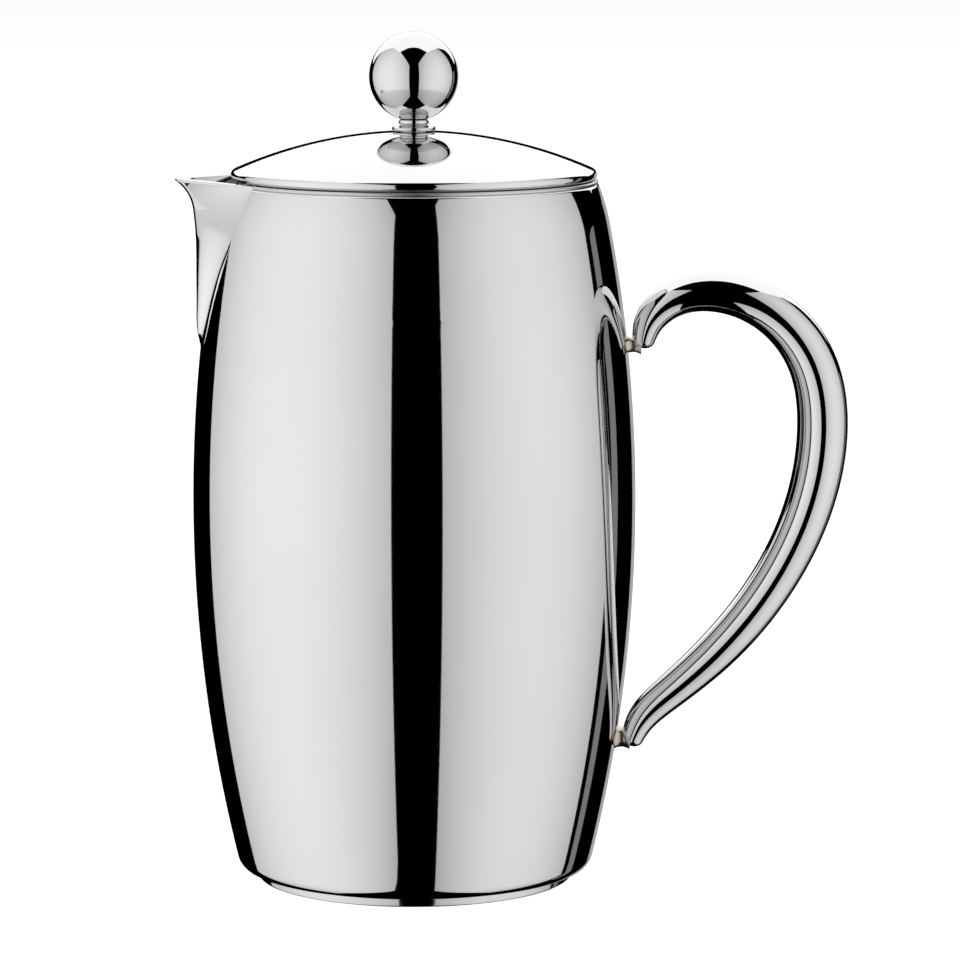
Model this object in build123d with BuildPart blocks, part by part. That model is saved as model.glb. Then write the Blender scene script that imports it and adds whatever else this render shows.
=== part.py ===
"""French press: double-walled steel pot, lid, plunger and filter.

Millimetres, +Z up. The origin is on the pot's axis, in the plane it stands on.
The handle is towards +X and the spout towards -X.
"""
import os
from math import asin, atan2, cos, hypot, pi, sin, sqrt

from build123d import *

# Barrel: one large arc, a tighter shoulder arc and a rounded bottom corner
belly_radius = 57.0
belly_height = 97.0
barrel_arc_radius = 390.0
shoulder_height = 170.0
rim_radius = 47.1
rim_height = 180.8
sheet = 0.8
bottom_corner = 4.0
shell_bottom_opening = 38.0

# Foot: a pressed cap under the outer wall
foot_height = 2.4
foot_radius = 40.75
foot_ring_width = 2.8
foot_recess = 1.6
foot_edge = 0.5

# Inner vessel: straight bore, so that the filter seals along its whole travel
bore_radius = 44.4
vessel_floor_underside = 6.5
vessel_corner = 9.0
lip_bend = 0.8
lip_edge_chamfer = 0.2
vessel_radius = bore_radius + sheet

# Pour opening: a tapered slot through both walls, open at the rim
opening_bottom = 150.0
opening_half_bottom = 6.0
opening_half_top = 19.0
opening_corner = 5.0
opening_tool_start = -30.0
opening_tool_length = 32.0

# Spout: (height, nose distance from the axis, half width where it meets the wall)
beak_stations = [
    (138.2, 54.9, 2.3),
    (142.0, 55.7, 8.0),
    (149.0, 55.9, 12.9),
    (157.0, 55.9, 16.6),
    (165.0, 55.95, 20.6),
    (172.0, 56.5, 23.3),
    (177.0, 57.9, 24.2),
    (180.8, 61.5, 24.6),
    (182.0, 63.3, 24.7),
]
beak_nose_radius = 6.0
beak_sheet = 0.9
beak_run_in = 5.0

# Handle: (x, z, half thickness) along its centre line, from the upper end to the lower one
handle_stations = [
    (58.7, 137.6, 2.5),
    (60.4, 144.4, 3.9),
    (67.4, 150.4, 4.6),
    (76.6, 152.0, 5.1),
    (91.8, 146.8, 5.8),
    (102.2, 133.9, 6.3),
    (105.1, 117.5, 6.55),
    (101.9, 97.2, 6.3),
    (90.8, 74.1, 5.8),
    (77.7, 58.2, 5.3),
    (65.4, 47.2, 4.5),
    (58.4, 40.0, 3.7),
    (56.0, 33.8, 2.5),
]
handle_end_directions = [(0.1, 1), (-0.25, -1)]
handle_width_ratio = 1.15
handle_tip_round = 1.6
upper_stub_height = 138.4
upper_stub_radius = 1.9
lower_stub_height = 36.0
lower_stub_radius = 2.6
stub_flare = 0.7
stub_length = 4.2

# Lid: a spherical dome with a rolled edge, and the ring that centres it
dome_apex = 193.3
dome_arc_radius = 114.0
lid_radius = 46.8
bead_radius = 1.45
skirt_radius = 44.05
skirt_sheet = 0.7
skirt_bottom = 166.0
strainer_slots = 11
strainer_slot_width = 1.8
strainer_slot_height = 9.0
strainer_slot_centre = 172.6
strainer_slot_pitch = 5.2

# Rod and its guide bush
rod_radius = 2.5
thread_radius = 2.0
running_clearance = 0.05
bush_head_radius = 5.55
bush_neck_radius = 3.85
bush_head_base = 193.38
bush_head_top = 195.15
bush_shank_radius = 3.55
bush_shank_bottom = 189.0
bush_nut_across_flats = 9.5
bush_nut_height = 2.4
bush_edge = 0.3
bush_band = 0.85
bush_flare_radius = 2.2
nut_gap = 0.1

# Knob
ball_radius = 11.4
ball_centre = 207.2
ball_seat_radius = 3.2
collar_chamfer = 0.5
seat_gap = 0.05
knob_thread_depth = 8.0
knob_thread_length = 7.5
rod_chamfer = 0.4

# Filter stack, from the bottom up
stack_base = 24.0
nut_radius = 7.0
nut_height = 4.6
nut_round = 2.5
nut_bore_depth = 3.2
rod_end_gap = 0.2
cross_plate_radius = 41.0
cross_plate_thickness = 1.0
cross_plate_rim = 2.2
cross_plate_openings = 8
cross_plate_opening_ring = 23.0
cross_plate_opening_radius = 7.2
cross_plate_hole_ring = 35.0
cross_plate_hole_radius = 2.6
cross_plate_holes = 2 * cross_plate_openings
cross_plate_hole_turn = 180 / cross_plate_holes
screen_thickness = 0.4
screen_radius = 44.05
screen_height = 6.2
screen_band_height = 1.0
screen_corner = 1.2
spiral_plate_thickness = 0.8
spiral_plate_radius = 37.3
spiral_plate_rim = 4.2
spiral_openings = 6
spiral_opening_ring = 19.0
spiral_opening_radius = 7.0
spiral_hole_ring = 31.0
spiral_hole_radius = 2.8
spiral_holes = 3 * spiral_openings
spiral_hole_turn = 180 / spiral_holes
spring_radius = 40.45
spring_envelope_radius = 2.9
plate_hole_radius = 2.6
rod_collar_radius = 6.0
rod_collar_height = 2.6

base_align = (Align.CENTER, Align.CENTER, Align.MIN)


def barrel_radius(height):
    """Outer radius of the main barrel arc at a height."""
    reach = sqrt(barrel_arc_radius**2 - (height - belly_height) ** 2)
    return belly_radius - barrel_arc_radius + reach


def dome_height(radius, depth=0.0):
    """Height of the dome's surface at a radius, or of a surface that lies depth below it."""
    return dome_apex - dome_arc_radius + sqrt((dome_arc_radius - depth) ** 2 - radius**2)


# The bottom corner's arc touches the foot plane and the barrel arc
barrel_centre_radius = belly_radius - barrel_arc_radius
corner_centre_height = foot_height + bottom_corner
corner_reach = barrel_arc_radius - bottom_corner
corner_tilt = asin((belly_height - corner_centre_height) / corner_reach)
corner_centre_radius = barrel_centre_radius + corner_reach * cos(corner_tilt)

# The shoulder's arc leaves the barrel along its tangent and ends under the rim
shell_top = rim_height - sheet
shoulder_tilt = asin((shoulder_height - belly_height) / barrel_arc_radius)
shoulder_radius = barrel_radius(shoulder_height)
shoulder_chord = hypot(shoulder_radius - rim_radius, shell_top - shoulder_height)
shoulder_turn = atan2(shoulder_radius - rim_radius, shell_top - shoulder_height) - shoulder_tilt
shoulder_arc_radius = shoulder_chord / (2 * sin(shoulder_turn))
shoulder_centre_radius = shoulder_radius - shoulder_arc_radius * cos(shoulder_tilt)
shoulder_centre_height = shoulder_height - shoulder_arc_radius * sin(shoulder_tilt)


def wall_radius(height, inset=0.0):
    """Radius of the pot's wall at a height above its bottom corner, an inset inside its outer face."""
    if height <= shoulder_height:
        return barrel_centre_radius + sqrt((barrel_arc_radius - inset) ** 2 - (height - belly_height) ** 2)
    rise = min(height, shell_top) - shoulder_centre_height
    return shoulder_centre_radius + sqrt((shoulder_arc_radius - inset) ** 2 - rise**2)


def barrel_outline(inset, top):
    """Half section of the barrel as a full solid, a constant inset inside the outer face, up to a height."""
    floor = foot_height + inset
    corner_radius = bottom_corner - inset
    arc_radius = barrel_arc_radius - inset
    top_arc_radius = shoulder_arc_radius - inset
    corner_foot = (corner_centre_radius, floor)
    corner_top = (
        corner_centre_radius + corner_radius * cos(corner_tilt),
        corner_centre_height - corner_radius * sin(corner_tilt),
    )
    shoulder = (
        shoulder_centre_radius + top_arc_radius * cos(shoulder_tilt),
        shoulder_centre_height + top_arc_radius * sin(shoulder_tilt),
    )
    wall_end = (wall_radius(shell_top, inset), shell_top)
    with BuildSketch(Plane.YZ) as outline:
        with BuildLine():
            Line((0, floor), corner_foot)
            RadiusArc(corner_foot, corner_top, -corner_radius)
            RadiusArc(corner_top, shoulder, -arc_radius)
            RadiusArc(shoulder, wall_end, -top_arc_radius)
            Polyline(wall_end, (wall_end[0], top), (0, top), (0, floor))
        make_face()
    return outline.sketch


# Solid body of the pot, used to trim what is welded to it
with BuildPart() as barrel_body:
    add(barrel_outline(0, rim_height))
    revolve(axis=Axis.Z)

# Tool for the pour opening: the slot's outline carried out through both walls
opening_slope = (opening_half_top - opening_half_bottom) / (rim_height - opening_bottom)
opening_plane = Plane.YZ.offset(opening_tool_start)


def opening_outline(inset, top):
    """Tapered outline of the pour opening, a constant inset inside the slot, up to a height."""
    side_inset = inset * sqrt(1 + opening_slope**2)
    bottom = opening_bottom + inset
    half_bottom = opening_half_bottom + opening_slope * inset - side_inset
    half_top = opening_half_bottom + opening_slope * (top - opening_bottom) - side_inset
    with BuildSketch(mode=Mode.PRIVATE) as outline:
        with BuildLine():
            left = [(-half_top, top), (-half_bottom, bottom)]
            right = [(half_bottom, bottom), (half_top, top)]
            Polyline(*left, *right, close=True)
        make_face()
        fillet(outline.vertices().group_by(Axis.Y)[0], opening_corner - inset)
    return outline.sketch_local


with BuildPart() as opening_tool:
    with BuildSketch(opening_plane):
        add(opening_outline(0, rim_height + sheet))
    extrude(amount=-opening_tool_length)

# Pot
with BuildPart() as outer_shell:
    add(barrel_body.part)
    split(bisect_by=Plane.XY.offset(shell_top), keep=Keep.BOTTOM)
    add(barrel_outline(sheet, rim_height))
    revolve(axis=Axis.Z, mode=Mode.SUBTRACT)
    Cylinder(shell_bottom_opening, bottom_corner, align=base_align, mode=Mode.SUBTRACT)
    add(opening_tool.part, mode=Mode.SUBTRACT)

with BuildPart() as base_cap:
    with BuildSketch(Plane.XZ):
        with BuildLine():
            Polyline(
                (0, foot_recess),
                (foot_radius - foot_ring_width - foot_recess, foot_recess),
                (foot_radius - foot_ring_width, 0),
                (foot_radius, 0),
                (foot_radius, foot_height),
                (0, foot_height),
                close=True,
            )
        make_face()
    revolve(axis=Axis.Z)
    fillet(base_cap.edges().filter_by(GeomType.CIRCLE).group_by(Axis.Z)[0], foot_edge)



def vessel_outline(inset, reach, top):
    """Half section of the vessel as a full solid with its lip turned out, an inset inside its outer face."""
    floor = vessel_floor_underside + inset
    wall = vessel_radius - inset
    corner = vessel_corner - inset
    corner_start = (vessel_radius - vessel_corner, floor)
    corner_end = (wall, vessel_floor_underside + vessel_corner)
    bend_start = (wall, shell_top - lip_bend)
    bend_end = (vessel_radius + lip_bend, shell_top + inset)
    with BuildSketch(Plane.YZ) as outline:
        with BuildLine():
            Line((0, floor), corner_start)
            RadiusArc(corner_start, corner_end, -corner)
            Line(corner_end, bend_start)
            RadiusArc(bend_start, bend_end, lip_bend + inset)
            Polyline(bend_end, (reach, shell_top + inset), (reach, top), (0, top), (0, floor))
        make_face()
    return outline.sketch


with BuildPart() as inner_vessel:
    add(vessel_outline(0, rim_radius, rim_height))
    revolve(axis=Axis.Z)
    chamfer(inner_vessel.edges().group_by(Axis.Z)[-1].sort_by(SortBy.RADIUS)[-1], lip_edge_chamfer)
    add(vessel_outline(sheet, rim_radius + sheet, rim_height + sheet))
    revolve(axis=Axis.Z, mode=Mode.SUBTRACT)
    add(opening_tool.part, mode=Mode.SUBTRACT)

with BuildPart() as spout_throat:
    with BuildSketch(opening_plane):
        add(opening_outline(0, rim_height))
        add(opening_outline(sheet, rim_height + sheet), mode=Mode.SUBTRACT)
    extrude(amount=-opening_tool_length)
    add(barrel_body.part, mode=Mode.INTERSECT)
    Cylinder(bore_radius, rim_height, align=base_align, mode=Mode.SUBTRACT)



def beak_outline(height, nose, half_width, inset):
    """Section of the spout: two straight sides from the wall to a rounded nose, a constant inset inside."""
    wall = wall_radius(height)
    crease_x = sqrt(wall**2 - half_width**2)
    half_angle = atan2(half_width, nose - crease_x)
    apex = nose + beak_nose_radius * (1 / sin(half_angle) - 1)
    half_angle = atan2(half_width, apex - crease_x)
    apex -= inset / sin(half_angle)
    crease_x -= inset * sin(half_angle)
    crease_y = half_width - inset * cos(half_angle)
    root = 1 - beak_run_in / wall
    with BuildSketch(Plane.XY.offset(height)) as outline:
        with BuildLine():
            Polyline(
                (-apex, 0),
                (-crease_x, crease_y),
                (-crease_x * root, crease_y * root),
                (-crease_x * root, -crease_y * root),
                (-crease_x, -crease_y),
                close=True,
            )
        make_face()
        fillet(outline.vertices().sort_by(Axis.X)[0], beak_nose_radius - inset)
    return outline.sketch


with BuildPart() as beak_cavity:
    for station in beak_stations[1:]:
        add(beak_outline(*station, beak_sheet))
    loft()

with BuildPart() as spout:
    for station in beak_stations:
        add(beak_outline(*station, 0))
    loft()
    add(beak_cavity.part, mode=Mode.SUBTRACT)
    split(bisect_by=Plane.XY.offset(rim_height), keep=Keep.BOTTOM)
    add(barrel_body.part, mode=Mode.SUBTRACT)

def weld_stub(height, radius):
    """Round stud along X from the pot's wall into the handle, waisted in the middle."""
    start = wall_radius(height) - stub_flare
    end = start + stub_length
    with BuildPart() as stub:
        with BuildSketch(Plane.XZ):
            with BuildLine():
                arc_start = (start, height + radius + stub_flare)
                arc_end = (end, height + radius + stub_flare)
                ThreePointArc(arc_start, ((start + end) / 2, height + radius), arc_end)
                Polyline(arc_end, (end, height), (start, height), arc_start)
            make_face()
        revolve(axis=Axis((0, 0, height), (1, 0, 0)))
        add(barrel_body.part, mode=Mode.SUBTRACT)
    return stub


upper_stub = weld_stub(upper_stub_height, upper_stub_radius)
lower_stub = weld_stub(lower_stub_height, lower_stub_radius)

handle_points = [(x, z) for x, z, half_thickness in handle_stations]
with BuildPart() as handle:
    with BuildLine(Plane.XZ) as handle_line:
        Spline(*handle_points, tangents=handle_end_directions)
    centre_line = handle_line.edge()
    for x, z, half_thickness in handle_stations:
        along = centre_line.param_at_point((x, 0, z))
        section = Plane(origin=(x, 0, z), x_dir=(0, 1, 0), z_dir=centre_line % along)
        with BuildSketch(section):
            Ellipse(half_thickness * handle_width_ratio, half_thickness)
    loft()
    fillet(handle.faces().filter_by(GeomType.PLANE).edges(), handle_tip_round)
    add(upper_stub.part, mode=Mode.SUBTRACT)
    add(lower_stub.part, mode=Mode.SUBTRACT)

# Lid
dome_centre_height = dome_apex - dome_arc_radius
bead_centre_radius = lid_radius - bead_radius
bead_centre_height = dome_centre_height + sqrt((dome_arc_radius - bead_radius) ** 2 - bead_centre_radius**2)
dome_edge_tilt = asin(bead_centre_radius / (dome_arc_radius - bead_radius))
dome_hole_radius = bush_shank_radius + running_clearance
dome_inner_radius = dome_arc_radius - sheet

with BuildPart() as lid_dome:
    with BuildSketch(Plane.XZ):
        with BuildLine():
            hole_top = (dome_hole_radius, dome_height(dome_hole_radius))
            hole_bottom = (dome_hole_radius, dome_height(dome_hole_radius, sheet))
            edge_top_radius = dome_arc_radius * sin(dome_edge_tilt)
            edge_top = (edge_top_radius, dome_height(edge_top_radius))
            edge_bottom_radius = dome_inner_radius * sin(dome_edge_tilt)
            edge_bottom = (edge_bottom_radius, dome_height(edge_bottom_radius, sheet))
            RadiusArc(hole_top, edge_top, dome_arc_radius)
            Line(edge_top, edge_bottom)
            RadiusArc(edge_bottom, hole_bottom, -dome_inner_radius)
            Line(hole_bottom, hole_top)
        make_face()
        with Locations((bead_centre_radius, bead_centre_height)):
            Circle(bead_radius)
        with Locations((skirt_radius, bead_centre_height)):
            Rectangle(bead_radius, bead_radius, align=(Align.MAX, Align.CENTER), mode=Mode.SUBTRACT)
    revolve(axis=Axis.Z)

slot_angles = [
    pi + (i - (strainer_slots - 1) / 2) * strainer_slot_pitch / skirt_radius for i in range(strainer_slots)
]
slot_planes = [
    Plane(
        origin=(skirt_radius * cos(angle), skirt_radius * sin(angle), strainer_slot_centre),
        x_dir=(-sin(angle), cos(angle), 0),
        z_dir=(cos(angle), sin(angle), 0),
    )
    for angle in slot_angles
]
with BuildPart() as lid_skirt:
    skirt_inner = skirt_radius - skirt_sheet
    with BuildSketch(Plane.XZ):
        with BuildLine():
            Polyline(
                (skirt_inner, skirt_bottom),
                (skirt_radius, skirt_bottom),
                (skirt_radius, dome_height(skirt_radius, sheet)),
                (skirt_inner, dome_height(skirt_inner, sheet)),
                close=True,
            )
        make_face()
    revolve(axis=Axis.Z)
    with BuildSketch(*slot_planes):
        SlotOverall(strainer_slot_height, strainer_slot_width, rotation=90)
    extrude(amount=skirt_sheet * 2, both=True, mode=Mode.SUBTRACT)

with BuildPart() as guide_bush:
    bore = rod_radius + running_clearance
    with BuildSketch(Plane.XZ) as bush_profile:
        with BuildLine():
            Polyline(
                (bush_neck_radius, bush_head_top),
                (bore, bush_head_top),
                (bore, bush_shank_bottom),
                (bush_shank_radius, bush_shank_bottom),
                (bush_shank_radius, bush_head_base),
                (bush_head_radius - bush_edge, bush_head_base),
                (bush_head_radius, bush_head_base + bush_edge),
                (bush_head_radius, bush_head_base + bush_band),
            )
            flare_start = (bush_head_radius, bush_head_base + bush_band)
            RadiusArc(flare_start, (bush_neck_radius, bush_head_top), -bush_flare_radius)
        make_face()
    revolve(axis=Axis.Z)

with BuildPart() as bush_nut:
    with BuildSketch(Plane.XY.offset(dome_height(bush_nut_across_flats / 2, sheet) - nut_gap)):
        RegularPolygon(bush_nut_across_flats / 2, 6, major_radius=False)
        Circle(bush_shank_radius, mode=Mode.SUBTRACT)
    extrude(amount=-bush_nut_height)

# Plunger
ball_seat_height = ball_centre - sqrt(ball_radius**2 - ball_seat_radius**2)
collar_top = ball_seat_height - seat_gap
collar_bottom = bush_head_top + seat_gap
rod_bottom = stack_base - nut_bore_depth + rod_end_gap
stack_top = stack_base + cross_plate_thickness + screen_thickness + spiral_plate_thickness

with BuildPart() as plunger_rod:
    with BuildSketch(Plane.XZ):
        with BuildLine():
            Polyline(
                (0, rod_bottom),
                (rod_radius - rod_chamfer, rod_bottom),
                (rod_radius, rod_bottom + rod_chamfer),
                (rod_radius, collar_top),
                (thread_radius, collar_top),
                (thread_radius, collar_top + knob_thread_length - rod_chamfer),
                (thread_radius - rod_chamfer, collar_top + knob_thread_length),
                (0, collar_top + knob_thread_length),
                close=True,
            )
        make_face()
    revolve(axis=Axis.Z)

with BuildPart() as knob_collar:
    with BuildSketch(Plane.XY.offset(collar_bottom)):
        Circle(bush_neck_radius)
        Circle(rod_radius, mode=Mode.SUBTRACT)
    extrude(amount=collar_top - collar_bottom)
    chamfer(knob_collar.edges().group_by(Axis.Z)[-1].sort_by(SortBy.RADIUS)[-1], collar_chamfer)

with BuildPart() as rod_collar:
    with BuildSketch(Plane.XY.offset(stack_top + seat_gap)):
        Circle(rod_collar_radius)
        Circle(rod_radius, mode=Mode.SUBTRACT)
    extrude(amount=rod_collar_height)
    chamfer(rod_collar.edges().group_by(Axis.Z)[-1].sort_by(SortBy.RADIUS)[-1], collar_chamfer)

with BuildPart() as ball_knob:
    with Locations((0, 0, ball_centre)):
        Sphere(ball_radius)
    split(bisect_by=Plane.XY.offset(ball_seat_height), keep=Keep.TOP)
    with BuildSketch(Plane.XY.offset(ball_seat_height)):
        Circle(thread_radius + running_clearance)
    extrude(amount=knob_thread_depth, mode=Mode.SUBTRACT)

# Filter
with BuildPart() as filter_nut:
    with BuildSketch(Plane.XY.offset(stack_base)):
        Circle(nut_radius)
    extrude(amount=-nut_height)
    fillet(filter_nut.edges().group_by(Axis.Z)[0], nut_round)
    with BuildSketch(Plane.XY.offset(stack_base)):
        Circle(rod_radius + running_clearance)
    extrude(amount=-nut_bore_depth, mode=Mode.SUBTRACT)

with BuildPart() as cross_plate:
    with BuildSketch(Plane.XY.offset(stack_base)):
        Circle(cross_plate_radius)
    extrude(amount=cross_plate_thickness)
    with BuildSketch(Plane.XY.offset(stack_base)):
        Circle(cross_plate_radius)
        Circle(cross_plate_radius - cross_plate_thickness, mode=Mode.SUBTRACT)
    extrude(amount=-cross_plate_rim)
    with BuildSketch(Plane.XY.offset(stack_base)):
        Circle(plate_hole_radius)
        with PolarLocations(cross_plate_opening_ring, cross_plate_openings):
            Circle(cross_plate_opening_radius)
        with PolarLocations(cross_plate_hole_ring, cross_plate_holes, start_angle=cross_plate_hole_turn):
            Circle(cross_plate_hole_radius)
    extrude(amount=cross_plate_thickness, mode=Mode.SUBTRACT)

screen_base = stack_base + cross_plate_thickness
with BuildPart() as mesh_screen:
    with BuildSketch(Plane.XZ):
        with BuildLine():
            wall_start = (screen_radius, screen_base + screen_corner)
            wall_end = (screen_radius, screen_base + screen_height - screen_band_height)
            Line((plate_hole_radius, screen_base), (screen_radius - screen_corner, screen_base))
            RadiusArc((screen_radius - screen_corner, screen_base), wall_start, -screen_corner)
            Line(wall_start, wall_end)
            offset(amount=screen_thickness, side=Side.LEFT)
        make_face()
    revolve(axis=Axis.Z)

with BuildPart() as screen_rim:
    with BuildSketch(Plane.XY.offset(screen_base + screen_height - screen_band_height)):
        Circle(screen_radius)
        Circle(screen_radius - screen_thickness, mode=Mode.SUBTRACT)
    extrude(amount=screen_band_height)

spiral_base = screen_base + screen_thickness
with BuildPart() as spiral_plate:
    with BuildSketch(Plane.XY.offset(spiral_base)):
        Circle(spiral_plate_radius)
    extrude(amount=spiral_plate_thickness)
    with BuildSketch(Plane.XY.offset(spiral_base)):
        Circle(spiral_plate_radius)
        Circle(spiral_plate_radius - spiral_plate_thickness, mode=Mode.SUBTRACT)
    extrude(amount=spiral_plate_rim)
    with BuildSketch(Plane.XY.offset(spiral_base)):
        Circle(plate_hole_radius)
        with PolarLocations(spiral_opening_ring, spiral_openings):
            Circle(spiral_opening_radius)
        with PolarLocations(spiral_hole_ring, spiral_holes, start_angle=spiral_hole_turn):
            Circle(spiral_hole_radius)
    extrude(amount=spiral_plate_thickness, mode=Mode.SUBTRACT)

with BuildPart() as edge_spring:
    with Locations((0, 0, spiral_base + spring_envelope_radius)):
        Torus(spring_radius, spring_envelope_radius)

pieces = {
    "outer_shell": outer_shell,
    "base_cap": base_cap,
    "inner_vessel": inner_vessel,
    "spout_throat": spout_throat,
    "spout": spout,
    "handle": handle,
    "handle_upper_stub": upper_stub,
    "handle_lower_stub": lower_stub,
    "lid_dome": lid_dome,
    "lid_skirt": lid_skirt,
    "guide_bush": guide_bush,
    "bush_nut": bush_nut,
    "plunger_rod": plunger_rod,
    "knob_collar": knob_collar,
    "rod_collar": rod_collar,
    "ball_knob": ball_knob,
    "filter_nut": filter_nut,
    "cross_plate": cross_plate,
    "mesh_screen": mesh_screen,
    "screen_rim": screen_rim,
    "spiral_plate": spiral_plate,
    "edge_spring": edge_spring,
}
os.makedirs("parts", exist_ok=True)
for name, piece in pieces.items():
    piece.part.label = name
    export_step(piece.part, f"parts/{name}.step")
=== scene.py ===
import math

import bmesh
import bpy
import numpy as np
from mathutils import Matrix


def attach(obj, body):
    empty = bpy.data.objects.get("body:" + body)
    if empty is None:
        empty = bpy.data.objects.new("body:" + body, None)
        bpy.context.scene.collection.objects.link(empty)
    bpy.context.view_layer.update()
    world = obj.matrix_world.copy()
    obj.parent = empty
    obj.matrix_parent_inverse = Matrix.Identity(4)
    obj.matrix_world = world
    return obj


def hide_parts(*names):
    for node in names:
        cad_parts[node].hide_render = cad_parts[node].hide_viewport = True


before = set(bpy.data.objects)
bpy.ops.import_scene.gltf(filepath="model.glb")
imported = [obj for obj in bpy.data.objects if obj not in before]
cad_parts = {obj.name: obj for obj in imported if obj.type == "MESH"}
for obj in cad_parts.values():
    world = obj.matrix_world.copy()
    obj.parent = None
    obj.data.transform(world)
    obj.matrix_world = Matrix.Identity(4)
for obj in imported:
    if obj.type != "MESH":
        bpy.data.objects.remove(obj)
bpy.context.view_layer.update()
scene = bpy.context.scene
millimetre = 0.001
print("frame loaded:", len(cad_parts), "nodes")


# Outlines in the half plane (distance from the axis, height), in millimetres.
# They run so that the metal lies on their left, which makes the turned faces point outwards.
def arc(centre, radius, start, end, count):
    # a circle about the centre, swept evenly from one angle to the other, in degrees
    angle = np.radians(np.linspace(start, end, count))
    return np.stack([centre[0] + radius * np.cos(angle), centre[1] + radius * np.sin(angle)], axis=1)


def line(start, end, count=2):
    # a straight run, blended evenly from its start to its end
    share = np.linspace(0, 1, count)[:, None]
    return np.asarray(start) * (1 - share) + np.asarray(end) * share


def rounded(corners, closed=True, steps=6):
    # each corner (r, z, radius) becomes the arc that touches both of its sides, by the slerp formula
    points = np.array([corner[:2] for corner in corners], float)
    runs = []
    for k, (r, z, radius) in enumerate(corners):
        corner = points[k]
        if radius == 0 or (not closed and k in (0, len(corners) - 1)):
            runs.append(corner[None])
            continue
        before = points[k - 1] - corner
        after = points[(k + 1) % len(corners)] - corner
        before /= np.linalg.norm(before)
        after /= np.linalg.norm(after)
        half = math.acos(np.clip(before @ after, -1, 1)) / 2
        middle = (before + after) / np.linalg.norm(before + after)
        centre = corner + middle * radius / math.sin(half)
        first = corner + before * radius / math.tan(half) - centre
        last = corner + after * radius / math.tan(half) - centre
        sweep = math.pi - 2 * half
        turn = np.linspace(0, 1, steps)[:, None] * sweep
        runs.append(centre + (first * np.sin(sweep - turn) + last * np.sin(turn)) / math.sin(sweep))
    return np.vstack(runs)


def piece(name, body, nodes, grid, wrapRows=False, wrapColumns=True, keep=None, wall=0, sharp=32, uv=None):
    # quads between neighbouring points of a grid (rows, columns, xyz); keep says which quads stay.
    # Points that meet at a pole or a seam are merged; wall is the sheet's thickness, laid inwards.
    rows, columns = grid.shape[:2]
    i, j = np.meshgrid(
        np.arange(rows if wrapRows else rows - 1),
        np.arange(columns if wrapColumns else columns - 1),
        indexing="ij",
    )
    nextI, nextJ = (i + 1) % rows, (j + 1) % columns
    quads = np.stack([i * columns + j, i * columns + nextJ, nextI * columns + nextJ, nextI * columns + j], axis=-1)
    quads = quads[keep] if keep is not None else quads.reshape(-1, 4)
    mesh = bpy.data.meshes.new(name)
    mesh.from_pydata((grid.reshape(-1, 3) * millimetre).tolist(), [], quads.tolist())
    if uv is not None:
        layer = mesh.uv_layers.new(name="sheet")
        corners = np.zeros(len(mesh.loops), np.int32)
        mesh.loops.foreach_get("vertex_index", corners)
        layer.data.foreach_set("uv", uv.reshape(-1, 2)[corners].astype(np.float32).ravel())
    work = bmesh.new()
    work.from_mesh(mesh)
    bmesh.ops.remove_doubles(work, verts=work.verts, dist=1e-7)
    loose = [v for v in work.verts if not v.link_faces]
    bmesh.ops.delete(work, geom=loose, context="VERTS")
    work.to_mesh(mesh)
    work.free()
    mesh.shade_smooth()
    mesh.set_sharp_from_angle(angle=math.radians(sharp))
    made = bpy.data.objects.new(name, mesh)
    scene.collection.objects.link(made)
    if wall:
        solid = made.modifiers.new("wall", "SOLIDIFY")
        solid.thickness = wall * millimetre
        solid.offset = -1
        solid.use_even_offset = True
    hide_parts(*nodes)
    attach(made, body)
    return made


def turned(outline, columns=192):
    # the outline turned about the axis: (r cos a, r sin a, z)
    angle = np.linspace(0, 2 * math.pi, columns, endpoint=False)
    radius, height = outline[:, 0, None], outline[:, 1, None]
    return np.stack(np.broadcast_arrays(radius * np.cos(angle), radius * np.sin(angle), height), axis=-1)


def cutWall(outline, centres, halfWidth, low, high, inside, between):
    # a turned wall whose columns follow the sides of its cuts: between cuts the angle is spread evenly
    # from one side to the next, and inside a cut from side to side. Quads inside a cut are left out.
    radius, height = outline[:, 0], outline[:, 1]
    half = np.arcsin(np.clip(halfWidth(height) / np.maximum(radius, 1e-6), 0, 0.9))
    runs, open_ = [], []
    for k, centre in enumerate(centres):
        following = centres[k + 1] if k + 1 < len(centres) else centres[0] + 2 * math.pi
        gap = following - centre > 1
        count = between if gap else max(inside, 4)
        share = np.linspace(0, 1, inside, endpoint=False)
        runs.append(centre - half[:, None] + 2 * half[:, None] * share)
        open_ += [True] * inside
        share = np.linspace(0, 1, count, endpoint=False)
        runs.append(centre + half[:, None] + (following - centre - 2 * half[:, None]) * share)
        open_ += [False] * count
    angle = np.hstack(runs)
    middle = (height[:-1] + height[1:]) / 2
    keep = ~(((middle > low) & (middle < high))[:, None] & np.array(open_)[None])
    grid = np.stack([radius[:, None] * np.cos(angle), radius[:, None] * np.sin(angle)], axis=-1)
    return np.concatenate([grid, np.broadcast_to(height[:, None, None], angle.shape + (1,))], axis=-1), keep


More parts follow.
